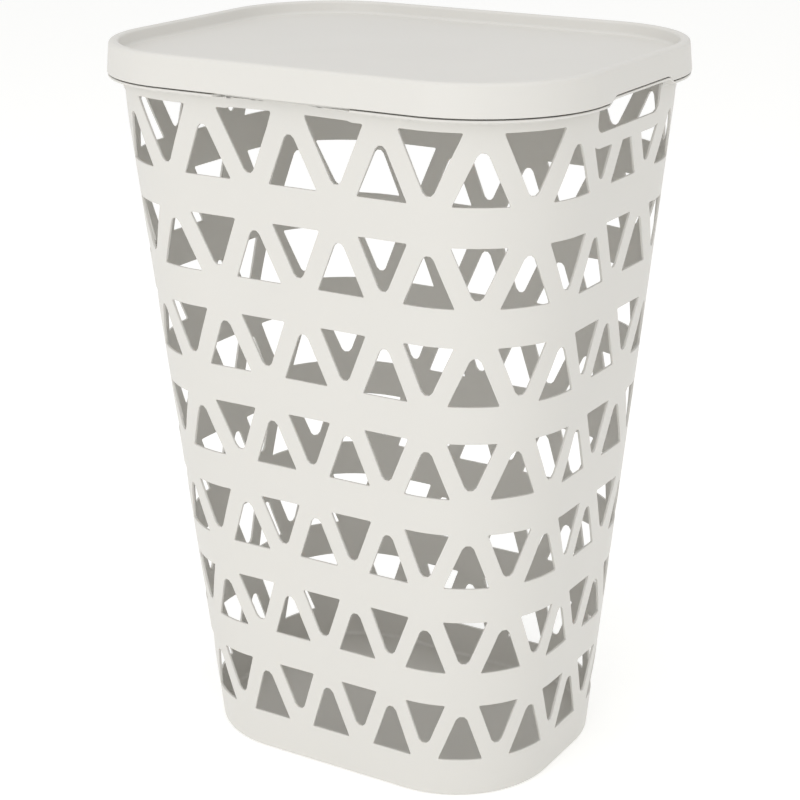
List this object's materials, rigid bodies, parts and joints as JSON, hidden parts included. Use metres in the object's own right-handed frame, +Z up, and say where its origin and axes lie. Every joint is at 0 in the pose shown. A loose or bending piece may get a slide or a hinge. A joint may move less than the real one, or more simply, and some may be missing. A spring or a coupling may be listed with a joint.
{
  "type": "laundry hamper",
  "caption": "Tapering perforated plastic laundry hamper with hand slots in the ends and a dished lid hinged at the back.",
  "frame": {"origin": "on the ground, under the middle of the overall box", "axes": "+Z up, -Y to the front where the finger recess is, +X to the right seen from the front, along the long side"},
  "size_m": [0.4372, 0.3476, 0.6164],
  "materials": {
    "basket_plastic": "satin, very fine moulded grain",
    "lid_plastic": "satin, very fine moulded grain"
  },
  "bodies": {
    "basket": {"basket_floor": "basket_plastic", "basket_front_left": "basket_plastic", "basket_front_middle": "basket_plastic", "basket_front_right": "basket_plastic", "basket_back": "basket_plastic", "basket_end_left": "basket_plastic", "basket_end_right": "basket_plastic", "basket_corner_front_right_1": "basket_plastic", "basket_corner_front_right_2": "basket_plastic", "basket_corner_front_right_3": "basket_plastic", "basket_corner_front_right_4": "basket_plastic", "basket_corner_back_right_1": "basket_plastic", "basket_corner_back_right_2": "basket_plastic", "basket_corner_back_right_3": "basket_plastic", "basket_corner_back_right_4": "basket_plastic", "basket_corner_back_left_1": "basket_plastic", "basket_corner_back_left_2": "basket_plastic", "basket_corner_back_left_3": "basket_plastic", "basket_corner_back_left_4": "basket_plastic", "basket_corner_front_left_1": "basket_plastic", "basket_corner_front_left_2": "basket_plastic", "basket_corner_front_left_3": "basket_plastic", "basket_corner_front_left_4": "basket_plastic"},
    "lid": {"lid": "lid_plastic"}
  },
  "joints": [
    {"name": "lid_hinge", "type": "hinge", "parent": "basket", "child": "lid", "pos_m": [0, 0.1694, 0.584], "axis": [-1, 0, 0], "range_deg": [0, 105]}
  ]
}
